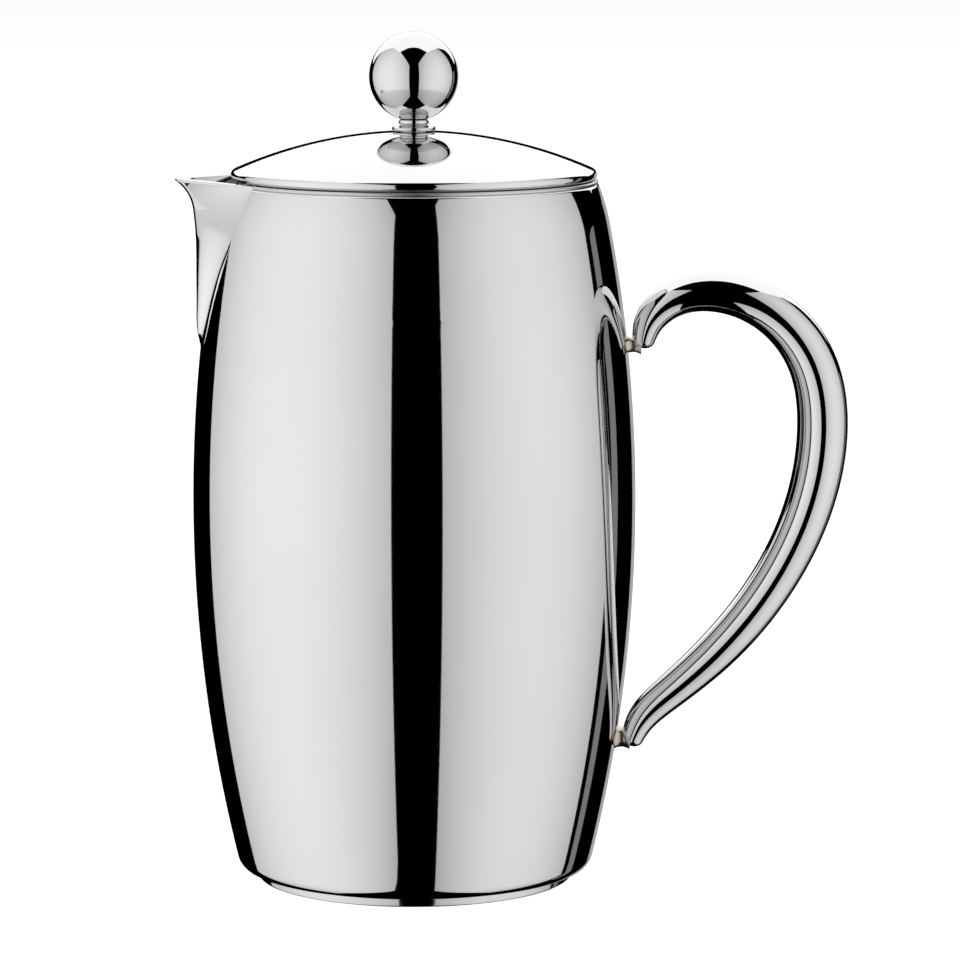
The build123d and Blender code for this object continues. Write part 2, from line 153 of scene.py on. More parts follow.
# Pot
barrel = {
    "bellyRadius": 57.0,
    "bellyHeight": 97.0,
    "arcRadius": 390.0,
    "footHeight": 2.4,
    "cornerRadius": 4.0,
    "bottomOpening": 38.0,
    "shoulderHeight": 170.0,
    "rimRadius": 47.1,
    "rimHeight": 180.8,
    "sheet": 0.8,
    "columns": 288,
}
shellTop = barrel["rimHeight"] - barrel["sheet"]
arcCentre = barrel["bellyRadius"] - barrel["arcRadius"]
cornerHeight = barrel["footHeight"] + barrel["cornerRadius"]
cornerReach = barrel["arcRadius"] - barrel["cornerRadius"]
cornerTilt = math.asin((barrel["bellyHeight"] - cornerHeight) / cornerReach)
cornerRadius = arcCentre + cornerReach * math.cos(cornerTilt)
shoulderTilt = math.asin((barrel["shoulderHeight"] - barrel["bellyHeight"]) / barrel["arcRadius"])
shoulderRadius = arcCentre + barrel["arcRadius"] * math.cos(shoulderTilt)
shoulderFall = shoulderRadius - barrel["rimRadius"]
shoulderRise = shellTop - barrel["shoulderHeight"]
shoulderTurn = math.atan2(shoulderFall, shoulderRise) - shoulderTilt
shoulderArc = math.hypot(shoulderFall, shoulderRise) / (2 * math.sin(shoulderTurn))
shoulderCentre = (
    shoulderRadius - shoulderArc * math.cos(shoulderTilt),
    barrel["shoulderHeight"] - shoulderArc * math.sin(shoulderTilt),
)


def wallRadius(height):
    # the barrel's large arc up to the shoulder, and the shoulder's arc above it
    low = arcCentre + np.sqrt(barrel["arcRadius"] ** 2 - (height - barrel["bellyHeight"]) ** 2)
    rise = np.minimum(height, shellTop) - shoulderCentre[1]
    high = shoulderCentre[0] + np.sqrt(np.maximum(shoulderArc**2 - rise**2, 0))
    return np.where(height <= barrel["shoulderHeight"], low, high)


opening = {"bottom": 150.0, "halfBottom": 6.0, "halfTop": 19.0, "corner": 5.0}
openingSlope = (opening["halfTop"] - opening["halfBottom"]) / (barrel["rimHeight"] - opening["bottom"])
openingTilt = math.atan(openingSlope)
cornerTop = opening["bottom"] + opening["corner"]
cornerSide = opening["halfBottom"] + openingSlope * opening["corner"] - opening["corner"] / math.cos(openingTilt)
tangentHeight = cornerTop - opening["corner"] * math.sin(openingTilt)


def openingHalf(height):
    # straight sides that lean out, and quarter rounds down to a flat bottom
    height = np.maximum(height, opening["bottom"])
    side = opening["halfBottom"] + openingSlope * (height - opening["bottom"])
    round_ = cornerSide + np.sqrt(np.maximum(opening["corner"] ** 2 - (height - cornerTop) ** 2, 0))
    return np.where(height < tangentHeight, round_, side)


roundAngles = np.linspace(math.pi / 2, openingTilt, 9)
roundHeights = cornerTop - opening["corner"] * np.sin(roundAngles)  # rows that follow the rounded corners
lowHeights = np.linspace(cornerHeight - barrel["cornerRadius"] * math.sin(cornerTilt), opening["bottom"], 64)
highHeights = np.linspace(tangentHeight, barrel["shoulderHeight"], 12)
barrelHeights = np.concatenate([lowHeights[1:-1], roundHeights, highHeights[1:]])
shoulderAngles = (math.degrees(shoulderTilt), math.degrees(shoulderTilt + 2 * shoulderTurn))
shellOutline = np.vstack([
    line((barrel["bottomOpening"], barrel["footHeight"]), (cornerRadius, barrel["footHeight"]), 3)[:-1],
    arc((cornerRadius, cornerHeight), barrel["cornerRadius"], -90, -math.degrees(cornerTilt), 14),
    np.stack([wallRadius(barrelHeights), barrelHeights], axis=1),
    arc(shoulderCentre, shoulderArc, *shoulderAngles, 16)[1:],
])
shellGrid, shellKeep = cutWall(
    shellOutline, [math.pi], openingHalf, opening["bottom"], barrel["rimHeight"], 12, barrel["columns"]
)
outerShell = piece(
    "outerShell", "pot", ["outer_shell"], shellGrid, keep=shellKeep, wall=barrel["sheet"], sharp=50
)

foot = {"radius": 40.75, "ring": 2.8, "recess": 1.6, "edge": 0.5}
footInner = foot["radius"] - foot["ring"]
footOutline = rounded([
    (0, foot["recess"], 0),
    (footInner - foot["recess"], foot["recess"], 0.4),
    (footInner, 0, foot["edge"]),
    (foot["radius"], 0, foot["edge"]),
    (foot["radius"], barrel["footHeight"], 0.2),
    (0, barrel["footHeight"], 0),
], closed=False)
baseCap = piece("baseCap", "pot", ["base_cap"], turned(footOutline, 256))

vessel = {"bore": 44.4, "underside": 6.5, "corner": 9.0, "bend": 0.8}
vesselRadius = vessel["bore"] + barrel["sheet"]
vesselCorner = (vesselRadius - vessel["corner"], vessel["underside"] + vessel["corner"])
bendCentre = (vesselRadius + vessel["bend"], shellTop - vessel["bend"])
vesselLow = np.linspace(vesselCorner[1], opening["bottom"], 20)
vesselHigh = np.linspace(tangentHeight, bendCentre[1], 10)
vesselHeights = np.concatenate([vesselLow[1:-1], roundHeights, vesselHigh[1:-1]])
vesselOutline = np.vstack([
    line((0, vessel["underside"]), (vesselCorner[0], vessel["underside"]), 8)[:-1],
    arc(vesselCorner, vessel["corner"], -90, 0, 14),
    np.stack([np.full(len(vesselHeights), vesselRadius), vesselHeights], axis=1),
    arc(bendCentre, vessel["bend"], 180, 90, 7),
    [(barrel["rimRadius"], shellTop)],
])
vesselGrid, vesselKeep = cutWall(
    vesselOutline, [math.pi], openingHalf, opening["bottom"], barrel["rimHeight"], 12, 256
)
innerVessel = piece(
    "innerVessel", "pot", ["inner_vessel"], vesselGrid, keep=vesselKeep, wall=barrel["sheet"]
)

# Lining of the pour opening: its outline carried straight from the bore out to the outer wall
liningHeights = np.concatenate([roundHeights, np.linspace(tangentHeight, barrel["rimHeight"], 14)[1:]])
liningRight = np.stack([openingHalf(liningHeights), liningHeights], axis=1)
liningFloor = line((-cornerSide, opening["bottom"]), (cornerSide, opening["bottom"]), 5)[1:-1]
lining = np.vstack([liningRight[::-1] * (-1, 1), liningFloor, liningRight])[::-1]
liningIn = np.sqrt(vessel["bore"] ** 2 - lining[:, 0] ** 2)
liningOut = np.sqrt(wallRadius(lining[:, 1]) ** 2 - lining[:, 0] ** 2)
liningDepth = np.linspace(0, 1, 6)[None]
liningX = -(liningIn[:, None] * (1 - liningDepth) + (liningOut[:, None] - 0.1) * liningDepth)
liningGrid = np.stack(np.broadcast_arrays(liningX, lining[:, 0, None], lining[:, 1, None]), axis=-1)
spoutThroat = piece(
    "spoutThroat", "pot", ["spout_throat"], liningGrid, wrapColumns=False, wall=barrel["sheet"]
)

beak = {
    "height": [138.2, 142.0, 149.0, 157.0, 165.0, 172.0, 177.0, 180.8, 182.0],
    "nose": [54.9, 55.7, 55.9, 55.9, 55.95, 56.5, 57.9, 61.5, 63.3],
    "halfWidth": [2.3, 8.0, 12.9, 16.6, 20.6, 23.3, 24.2, 24.6, 24.7],
    "noseRadius": 6.0,
    "sheet": 0.9,
    "runIn": 1.5,
    "rows": 90,
}


def splineThrough(knots, values, at, startSlope=None, endSlope=None):
    # the cubic spline through the values, with its second derivative zero or its slope set at each end
    knots, values = np.asarray(knots, float), np.asarray(values, float)
    values = values.reshape(len(knots), -1)
    step = np.diff(knots)[:, None]
    rise = np.diff(values, axis=0) / step
    count = len(knots)
    system = np.zeros((count, count))
    right = np.zeros_like(values)
    inner = np.arange(1, count - 1)
    system[inner, inner - 1] = step[:-1, 0]
    system[inner, inner] = 2 * (step[:-1, 0] + step[1:, 0])
    system[inner, inner + 1] = step[1:, 0]
    right[inner] = 6 * (rise[1:] - rise[:-1])
    system[0, 0] = system[-1, -1] = 1
    if startSlope is not None:
        system[0, :2] = 2 * step[0, 0], step[0, 0]
        right[0] = 6 * (rise[0] - startSlope)
    if endSlope is not None:
        system[-1, -2:] = step[-1, 0], 2 * step[-1, 0]
        right[-1] = 6 * (endSlope - rise[-1])
    bend = np.linalg.solve(system, right)
    cell = np.clip(np.searchsorted(knots, at) - 1, 0, count - 2)
    h, a, b = step[cell], knots[cell + 1][:, None] - at[:, None], at[:, None] - knots[cell][:, None]
    return (
        bend[cell] * a**3 / (6 * h)
        + bend[cell + 1] * b**3 / (6 * h)
        + (values[cell] / h - bend[cell] * h / 6) * a
        + (values[cell + 1] / h - bend[cell + 1] * h / 6) * b
    )


# Spout: at each height two straight sides run from the wall to a round nose
beakHeights = np.linspace(beak["height"][0], barrel["rimHeight"], beak["rows"])
beakNose = splineThrough(beak["height"], beak["nose"], beakHeights)[:, 0]
beakHalf = splineThrough(beak["height"], beak["halfWidth"], beakHeights)[:, 0]
crease = np.sqrt(wallRadius(beakHeights) ** 2 - beakHalf**2)
noseAngle = np.arctan2(beakHalf, beakNose - crease)
apex = beakNose + beak["noseRadius"] * (1 / np.sin(noseAngle) - 1)
noseAngle = np.arctan2(beakHalf, apex - crease)
roundCentre = apex - beak["noseRadius"] / np.sin(noseAngle)
roundSweep = math.pi / 2 - noseAngle
turn = np.linspace(-1, 1, 25)[None] * roundSweep[:, None]
noseX = roundCentre[:, None] + beak["noseRadius"] * np.cos(turn)
noseY = beak["noseRadius"] * np.sin(turn)
sideShare = np.linspace(0, 1, 16, endpoint=False)[None]
sideX = crease[:, None] * (1 - sideShare) + noseX[:, :1] * sideShare
sideY = -beakHalf[:, None] * (1 - sideShare) + noseY[:, :1] * sideShare
rootX = (crease - beak["runIn"] * np.cos(noseAngle))[:, None]
rootY = -(beakHalf + beak["runIn"] * np.sin(noseAngle))[:, None]
sectionX = np.hstack([rootX, sideX, noseX, sideX[:, ::-1], rootX])
sectionY = np.hstack([rootY, sideY, noseY, -sideY[:, ::-1], -rootY])
beakGrid = np.stack(np.broadcast_arrays(-sectionX, -sectionY, beakHeights[:, None]), axis=-1)
spout = piece(
    "spout", "pot", ["spout"], beakGrid, wrapColumns=False, wall=beak["sheet"], sharp=60
)
print("pot made")

# Handle: ellipses along a spline, drawn in to rounded tips
grip = {
    "x": [58.7, 60.4, 67.4, 76.6, 91.8, 102.2, 105.1, 101.9, 90.8, 77.7, 65.4, 58.4, 56.0],
    "z": [137.6, 144.4, 150.4, 152.0, 146.8, 133.9, 117.5, 97.2, 74.1, 58.2, 47.2, 40.0, 33.8],
    "halfThickness": [2.5, 3.9, 4.6, 5.1, 5.8, 6.3, 6.55, 6.3, 5.8, 5.3, 4.5, 3.7, 2.5],
    "startDirection": (0.1, 1.0),
    "endDirection": (-0.25, -1.0),
    "widthRatio": 1.15,
    "tipRound": 1.6,
    "rows": 420,
    "columns": 72,
}
gripPoints = np.stack([grip["x"], grip["z"]], axis=1)
gripSteps = np.linalg.norm(np.diff(gripPoints, axis=0), axis=1)
gripKnots = np.concatenate([[0], np.cumsum(gripSteps)])
gripLength = gripKnots[-1]
tip = grip["tipRound"] * (1 - np.cos(np.linspace(0, math.pi / 2, 14)))
along = np.concatenate([tip, np.linspace(grip["tipRound"], gripLength - grip["tipRound"], grip["rows"])[1:-1]])
along = np.concatenate([along, gripLength - tip[::-1]])
startSlope = np.array(grip["startDirection"]) / np.linalg.norm(grip["startDirection"])
endSlope = np.array(grip["endDirection"]) / np.linalg.norm(grip["endDirection"])
centreLine = splineThrough(gripKnots, gripPoints, along, startSlope, endSlope)
slope = np.gradient(centreLine, along, axis=0)
slope /= np.linalg.norm(slope, axis=1, keepdims=True)
across = np.stack([slope[:, 1], -slope[:, 0]], axis=1)
thickness = splineThrough(gripKnots, grip["halfThickness"], along)[:, 0]
fromEnd = np.clip(np.minimum(along, gripLength - along) / grip["tipRound"], 0, 1)
drawnIn = grip["tipRound"] * (1 - np.sqrt(1 - (1 - fromEnd) ** 2))
halfIn = np.concatenate([[0], thickness - drawnIn, [0]])
halfOut = np.concatenate([[0], thickness * grip["widthRatio"] - drawnIn, [0]])
centreLine = np.vstack([centreLine[:1], centreLine, centreLine[-1:]])
across = np.vstack([across[:1], across, across[-1:]])
around = np.linspace(0, 2 * math.pi, grip["columns"], endpoint=False)[None]
gripX = centreLine[:, :1] + across[:, :1] * halfIn[:, None] * np.cos(around)
gripZ = centreLine[:, 1:] + across[:, 1:] * halfIn[:, None] * np.cos(around)
gripY = halfOut[:, None] * np.sin(around)
handle = piece("handle", "pot", ["handle"], np.stack([gripX, gripY, gripZ], axis=-1), sharp=50)

stubs = {"height": (138.4, 36.0), "radius": (1.9, 2.6), "flare": 0.7, "length": 4.2, "buried": 0.7}


def weldStub(name, node, height, radius):
    # a round stud along X, its radius swelling as a circle's arc towards both ends
    start = float(wallRadius(height)) - stubs["buried"]
    share = np.linspace(-1, 1, 25)
    arcRadius = ((stubs["length"] / 2) ** 2 + stubs["flare"] ** 2) / (2 * stubs["flare"])
    swell = arcRadius - np.sqrt(arcRadius**2 - (share * stubs["length"] / 2) ** 2)
    size = np.concatenate([[0], radius + swell, [0]])[:, None]
    x = start + (np.concatenate([[-1], share, [1]])[:, None] + 1) * stubs["length"] / 2
    angle = np.linspace(0, 2 * math.pi, 48, endpoint=False)[None]
    grid = np.stack(np.broadcast_arrays(x, size * np.cos(angle), height + size * np.sin(angle)), axis=-1)
    return piece(name, "pot", [node], grid)


stubPieces = [
    weldStub("handleUpperStub", "handle_upper_stub", stubs["height"][0], stubs["radius"][0]),
    weldStub("handleLowerStub", "handle_lower_stub", stubs["height"][1], stubs["radius"][1]),
]
print("handle made")

# Lid: a spherical sheet with a rolled edge
dome = {"apex": 193.3, "arc": 114.0, "sheet": 0.8, "radius": 46.8, "bead": 1.45, "hole": 3.6}
domeCentre = dome["apex"] - dome["arc"]
beadRadius = dome["radius"] - dome["bead"]
beadReach = dome["arc"] - dome["bead"]
beadHeight = domeCentre + math.sqrt(beadReach**2 - beadRadius**2)
beadTurn = math.degrees(math.acos(beadRadius / beadReach))
underArc = dome["arc"] - dome["sheet"]
beadJoin = beadTurn + math.degrees(math.acos((underArc - beadReach) / dome["bead"]))
joinRadius = beadRadius + dome["bead"] * math.cos(math.radians(beadJoin))
underAngles = [math.degrees(math.acos(r / underArc)) for r in (dome["hole"], joinRadius)]
topAngles = (beadTurn, math.degrees(math.acos(dome["hole"] / dome["arc"])))
lidOutline = np.vstack([
    arc((0, domeCentre), underArc, *underAngles, 40)[:-1],
    arc((beadRadius, beadHeight), dome["bead"], beadJoin, 360 + beadTurn, 40)[:-1],
    arc((0, domeCentre), dome["arc"], *topAngles, 70),
])
lidDome = piece("lidDome", "lid", ["lid_dome"], turned(lidOutline, 288), wrapRows=True)

skirt = {"radius": 44.05, "sheet": 0.7, "bottom": 166.0}
strainer = {"count": 11, "width": 1.8, "height": 9.0, "centre": 172.6, "pitch": 5.2}
slotRound = strainer["width"] / 2
slotReach = strainer["height"] / 2
slotCentres = [
    math.pi + (k - (strainer["count"] - 1) / 2) * strainer["pitch"] / skirt["radius"]
    for k in range(strainer["count"])
]


def slotHalf(height):
    # straight sides between two half circles, and nothing above and below them
    beyond = np.maximum(abs(height - strainer["centre"]) - (slotReach - slotRound), 0)
    return np.sqrt(np.maximum(slotRound**2 - beyond**2, 0))


slotTurn = slotRound * np.cos(np.linspace(0, math.pi / 2, 7))
skirtTop = domeCentre + math.sqrt(underArc**2 - skirt["radius"] ** 2)
skirtHeights = np.concatenate([
    np.linspace(skirt["bottom"], strainer["centre"] - slotReach, 4)[:-1],
    strainer["centre"] - slotReach + slotRound - slotTurn,
    strainer["centre"] + slotReach - slotRound + slotTurn[::-1],
    np.linspace(strainer["centre"] + slotReach, skirtTop, 5)[1:],
])
skirtOutline = np.stack([np.full(len(skirtHeights), skirt["radius"]), skirtHeights], axis=1)
skirtGrid, skirtKeep = cutWall(
    skirtOutline, slotCentres, slotHalf, strainer["centre"] - slotReach, strainer["centre"] + slotReach, 6, 200
)
lidSkirt = piece(
    "lidSkirt", "lid", ["lid_skirt"], skirtGrid, keep=skirtKeep, wall=skirt["sheet"]
)

bush = {
    "head": 5.55, "neck": 3.85, "base": 193.38, "top": 195.15, "shank": 3.55, "bottom": 189.0,
    "bore": 2.55, "edge": 0.3, "band": 0.85, "flare": 2.2,
}
flareStart = np.array([bush["head"], bush["base"] + bush["band"]])
flareEnd = np.array([bush["neck"], bush["top"]])
flareHalf = np.linalg.norm(flareEnd - flareStart) / 2
flareMiddle = (flareStart + flareEnd) / 2
flareSide = (flareEnd - flareStart)[::-1] * (1, -1) / (2 * flareHalf)
flareCentre = flareMiddle + flareSide * math.sqrt(bush["flare"] ** 2 - flareHalf**2)
flareFirst, flareLast = [
    math.degrees(math.atan2(*(point - flareCentre)[::-1])) for point in (flareStart, flareEnd)
]
bushOutline = np.vstack([
    rounded([
        (bush["bore"], bush["top"], 0),
        (bush["bore"], bush["bottom"], 0.2),
        (bush["shank"], bush["bottom"], 0.3),
        (bush["shank"], bush["base"], 0),
        (bush["head"], bush["base"], bush["edge"]),
        tuple(flareStart) + (0,),
    ], closed=False),
    arc(flareCentre, bush["flare"], flareFirst, flareLast, 12)[1:],
])
guideBush = piece("guideBush", "bush", ["guide_bush"], turned(bushOutline, 128), wrapRows=True)

nut = {"acrossFlats": 9.5, "height": 2.4, "gap": 0.1, "chamfer": 0.5}
nutTop = domeCentre + math.sqrt(underArc**2 - (nut["acrossFlats"] / 2) ** 2) - nut["gap"]
nutAngle = np.linspace(0, 2 * math.pi, 144, endpoint=False)
hexagon = nut["acrossFlats"] / 2 / np.cos(np.mod(nutAngle, math.pi / 3) - math.pi / 6)
chamfered = np.minimum(hexagon, nut["acrossFlats"] / 2 + 0.1)
nutRows = [
    (np.full_like(hexagon, bush["shank"]), nutTop),
    (np.full_like(hexagon, bush["shank"]), nutTop - nut["height"]),
    (chamfered, nutTop - nut["height"]),
    (hexagon, nutTop - nut["height"] + nut["chamfer"]),
    (hexagon, nutTop - nut["chamfer"]),
    (chamfered, nutTop),
]
nutGrid = np.stack([
    np.stack([radius * np.cos(nutAngle), radius * np.sin(nutAngle), np.full_like(radius, height)], axis=-1)
    for radius, height in nutRows
])
bushNut = piece("bushNut", "bush", ["bush_nut"], nutGrid, wrapRows=True)
print("lid made")

# Plunger
knob = {"radius": 11.4, "centre": 207.2, "seat": 3.2, "bore": 2.05, "depth": 8.0, "gap": 0.05}
seatHeight = knob["centre"] - math.sqrt(knob["radius"] ** 2 - knob["seat"] ** 2)
seatAngle = math.degrees(math.asin((seatHeight - knob["centre"]) / knob["radius"]))
ballOutline = np.vstack([
    line((0, seatHeight + knob["depth"]), (knob["bore"], seatHeight + knob["depth"])),
    [(knob["bore"], seatHeight)],
    arc((0, knob["centre"]), knob["radius"], seatAngle, 90, 96),
])
ballOutline[-1, 0] = 0
ballKnob = piece("ballKnob", "knob", ["ball_knob"], turned(ballOutline, 160), sharp=40)

rod = {"radius": 2.5, "thread": 2.0, "threadLength": 7.5, "bottom": 21.0, "chamfer": 0.4}
collarTop = seatHeight - knob["gap"]
collarBottom = bush["top"] + knob["gap"]
collarOutline = rounded([
    (rod["radius"], collarBottom, 0),
    (bush["neck"], collarBottom, 0.2),
    (bush["neck"], collarTop, 0.4),
    (rod["radius"], collarTop, 0),
])
knobCollar = piece(
    "knobCollar", "plunger", ["knob_collar"], turned(collarOutline, 128), wrapRows=True
)
rodOutline = rounded([
    (0, rod["bottom"], 0),
    (rod["radius"], rod["bottom"], rod["chamfer"]),
    (rod["radius"], collarTop, 0.1),
    (rod["thread"], collarTop, 0),
    (rod["thread"], collarTop + rod["threadLength"], rod["chamfer"]),
    (0, collarTop + rod["threadLength"], 0),
], closed=False)
plungerRod = piece("plungerRod", "plunger", ["plunger_rod"], turned(rodOutline, 96))

# Filter stack, from the bottom up
stack = {
    "base": 24.0, "nutRadius": 7.0, "nutHeight": 4.6, "nutRound": 2.5, "nutBore": 3.2,
    "plate": 1.0, "screen": 0.4, "spiral": 0.8, "collarRadius": 6.0, "collarHeight": 2.6,
}
nutBore = rod["radius"] + 0.05
filterNutOutline = rounded([
    (0, stack["base"] - stack["nutHeight"], 0),
    (stack["nutRadius"], stack["base"] - stack["nutHeight"], stack["nutRound"]),
    (stack["nutRadius"], stack["base"], 0.2),
    (nutBore, stack["base"], 0),
    (nutBore, stack["base"] - stack["nutBore"], 0),
    (0, stack["base"] - stack["nutBore"], 0),
], closed=False, steps=10)
filterNut = piece("filterNut", "filter", ["filter_nut"], turned(filterNutOutline, 96))
rodCollarBase = stack["base"] + stack["plate"] + stack["screen"] + stack["spiral"] + knob["gap"]
rodCollarOutline = rounded([
    (rod["radius"], rodCollarBase, 0),
    (stack["collarRadius"], rodCollarBase, 0.15),
    (stack["collarRadius"], rodCollarBase + stack["collarHeight"], 0.45),
    (rod["radius"], rodCollarBase + stack["collarHeight"], 0),
])
rodCollar = piece(
    "rodCollar", "plunger", ["rod_collar"], turned(rodCollarOutline, 96), wrapRows=True
)

screenShape = {"radius": 44.05, "height": 5.2, "corner": 1.2, "hole": 2.6}
screenBase = stack["base"] + stack["plate"]
screenCorner = (screenShape["radius"] - screenShape["corner"], screenBase + screenShape["corner"])
screenOutline = np.vstack([
    line((screenShape["hole"], screenBase), (screenCorner[0], screenBase), 12)[:-1],
    arc(screenCorner, screenShape["corner"], -90, 0, 8)[:-1],
    line((screenShape["radius"], screenCorner[1]), (screenShape["radius"], screenBase + screenShape["height"]), 4),
])
screenSteps = np.linalg.norm(np.diff(screenOutline, axis=0), axis=1)
unrolled = screenShape["hole"] + np.concatenate([[0], np.cumsum(screenSteps)])  # flat radius before folding
screenAngle = np.linspace(0, 2 * math.pi, 224, endpoint=False)[None]
screenUv = np.stack([unrolled[:, None] * np.cos(screenAngle), unrolled[:, None] * np.sin(screenAngle)], axis=-1)
meshScreen = piece(
    "meshScreen", "filter", ["mesh_screen"], turned(screenOutline, 224), wall=0.4, uv=screenUv
)
bandBase = screenBase + screenShape["height"]
bandOutline = rounded([
    (screenShape["radius"] - 0.4, bandBase, 0.1),
    (screenShape["radius"], bandBase, 0.1),
    (screenShape["radius"], bandBase + 1.0, 0.15),
    (screenShape["radius"] - 0.4, bandBase + 1.0, 0.15),
])
screenRim = piece(
    "screenRim", "filter", ["screen_rim"], turned(bandOutline, 224), wrapRows=True
)

spring = {"ring": 40.45, "envelope": 2.9, "wire": 0.38, "turns": 132, "stepsPerTurn": 16, "sides": 8}
coilAngle = np.linspace(0, 2 * math.pi, spring["turns"] * spring["stepsPerTurn"], endpoint=False)[:, None]
winding = coilAngle * spring["turns"]
coilRadius = spring["envelope"] - spring["wire"]
springCentre = screenBase + stack["screen"] + spring["envelope"]
# The wire's line winds round a ring: distance R + c cos(n a) from the axis, height c sin(n a)
reach = spring["ring"] + coilRadius * np.cos(winding)
wireLine = np.concatenate(
    [reach * np.cos(coilAngle), reach * np.sin(coilAngle), springCentre + coilRadius * np.sin(winding)], axis=1
)
wireSlope = np.roll(wireLine, -1, axis=0) - np.roll(wireLine, 1, axis=0)
wireSlope /= np.linalg.norm(wireSlope, axis=1, keepdims=True)
outward = np.concatenate(
    [np.cos(winding) * np.cos(coilAngle), np.cos(winding) * np.sin(coilAngle), np.sin(winding)], axis=1
)
outward -= (outward * wireSlope).sum(axis=1, keepdims=True) * wireSlope
outward /= np.linalg.norm(outward, axis=1, keepdims=True)
sideways = np.cross(wireSlope, outward)
side = np.linspace(0, 2 * math.pi, spring["sides"], endpoint=False)[None, :, None]
springGrid = wireLine[:, None] + spring["wire"] * (outward[:, None] * np.cos(side) + sideways[:, None] * np.sin(side))
edgeSpring = piece(
    "edgeSpring", "filter", ["edge_spring"], springGrid[::-1], wrapRows=True, sharp=80
)
print("plunger and filter made")


# Shader maths: arithmetic on wrapped sockets adds Math nodes
class Wire:
    def __init__(self, tree, socket=None):
        self.tree = tree
        self.socket = socket

    def node(self, kind, settings=None, inputs=None, output=0):
        made = self.tree.nodes.new(kind)
        for key, value in (settings or {}).items():
            if key == "stops":
                for spare in list(made.color_ramp.elements)[2:]:
                    made.color_ramp.elements.remove(spare)
                for place, (position, colour) in enumerate(value):
                    stops = made.color_ramp.elements
                    stop = stops[place] if place < 2 else stops.new(position)
                    stop.position, stop.color = position, colour
            else:
                setattr(made, key, value)
        for key, value in (inputs or {}).items():
            if isinstance(value, Wire):
                self.tree.links.new(value.socket, made.inputs[key])
            else:
                made.inputs[key].default_value = value
        return Wire(self.tree, made.outputs[output])

    def maths(self, operation, first, second=0.0):
        return self.node("ShaderNodeMath", {"operation": operation}, {0: first, 1: second})

    def __add__(self, other):
        return self.maths("ADD", self, other)

    def __mul__(self, other):
        return self.maths("MULTIPLY", self, other)

    def __sub__(self, other):
        return self.maths("SUBTRACT", self, other)

    def __rsub__(self, other):
        return self.maths("SUBTRACT", other, self)

    __radd__ = __add__
    __rmul__ = __mul__


def colourMix(wire, factor, first, second):
    settings = {"data_type": "RGBA"}
    return wire.node("ShaderNodeMix", settings, {"Factor": factor, 6: first + (1,), 7: second + (1,)}, output=2)


def stretchedNoise(wire, stretch, scale, detail=3.0):
    place = wire.node("ShaderNodeTexCoord", output=3)
    scaled = wire.node("ShaderNodeMapping", None, {"Vector": place, "Scale": stretch})
    return wire.node("ShaderNodeTexNoise", None, {"Vector": scaled, "Scale": scale, "Detail": detail})


def steel(name, look):
    # a metal whose colour, roughness and relief drift with a broad noise and a fine, stretched one
    material = bpy.data.materials.new(name)
    material.use_nodes = True
    wire = Wire(material.node_tree)
    shader = material.node_tree.nodes["Principled BSDF"]
    broad = stretchedNoise(wire, (1, 1, 1), look["broadScale"])
    fine = stretchedNoise(wire, look["grain"], look["fineScale"], 2.0)
    tone = colourMix(wire, broad, look["dark"], look["light"])
    if "tint" in look:
        tone = look["tint"](wire, tone)
    rough = look["rough"] + look["roughSpread"] * (fine * 0.6 + broad * 0.4 - 0.5)
    relief = {"Height": fine, "Strength": look["relief"], "Distance": look["depth"] * millimetre}
    bump = wire.node("ShaderNodeBump", None, relief)
    material.node_tree.links.new(tone.socket, shader.inputs["Base Color"])
    material.node_tree.links.new(rough.socket, shader.inputs["Roughness"])
    material.node_tree.links.new(bump.socket, shader.inputs["Normal"])
    shader.inputs["Metallic"].default_value = 1.0
    return material


def look(**changes):
    # mirror polish unless something else is said
    values = {
        "dark": (0.63, 0.63, 0.64),
        "light": (0.69, 0.69, 0.695),
        "rough": 0.035,
        "roughSpread": 0.03,
        "grain": (1, 1, 1),
        "broadScale": 18.0,
        "fineScale": 420.0,
        "relief": 0.02,
        "depth": 0.002,
    }
    values.update(changes)
    return values


def heatTint(wire, tone):
    # straw and brown, in blotches laid by a fine noise
    blotch = stretchedNoise(wire, (1, 1, 1), 900.0)
    share = wire.maths("MULTIPLY", blotch, 0.6)
    return wire.node(
        "ShaderNodeMix", {"data_type": "RGBA"}, {"Factor": share, 6: tone, 7: (0.62, 0.47, 0.30, 1)}, output=2
    )


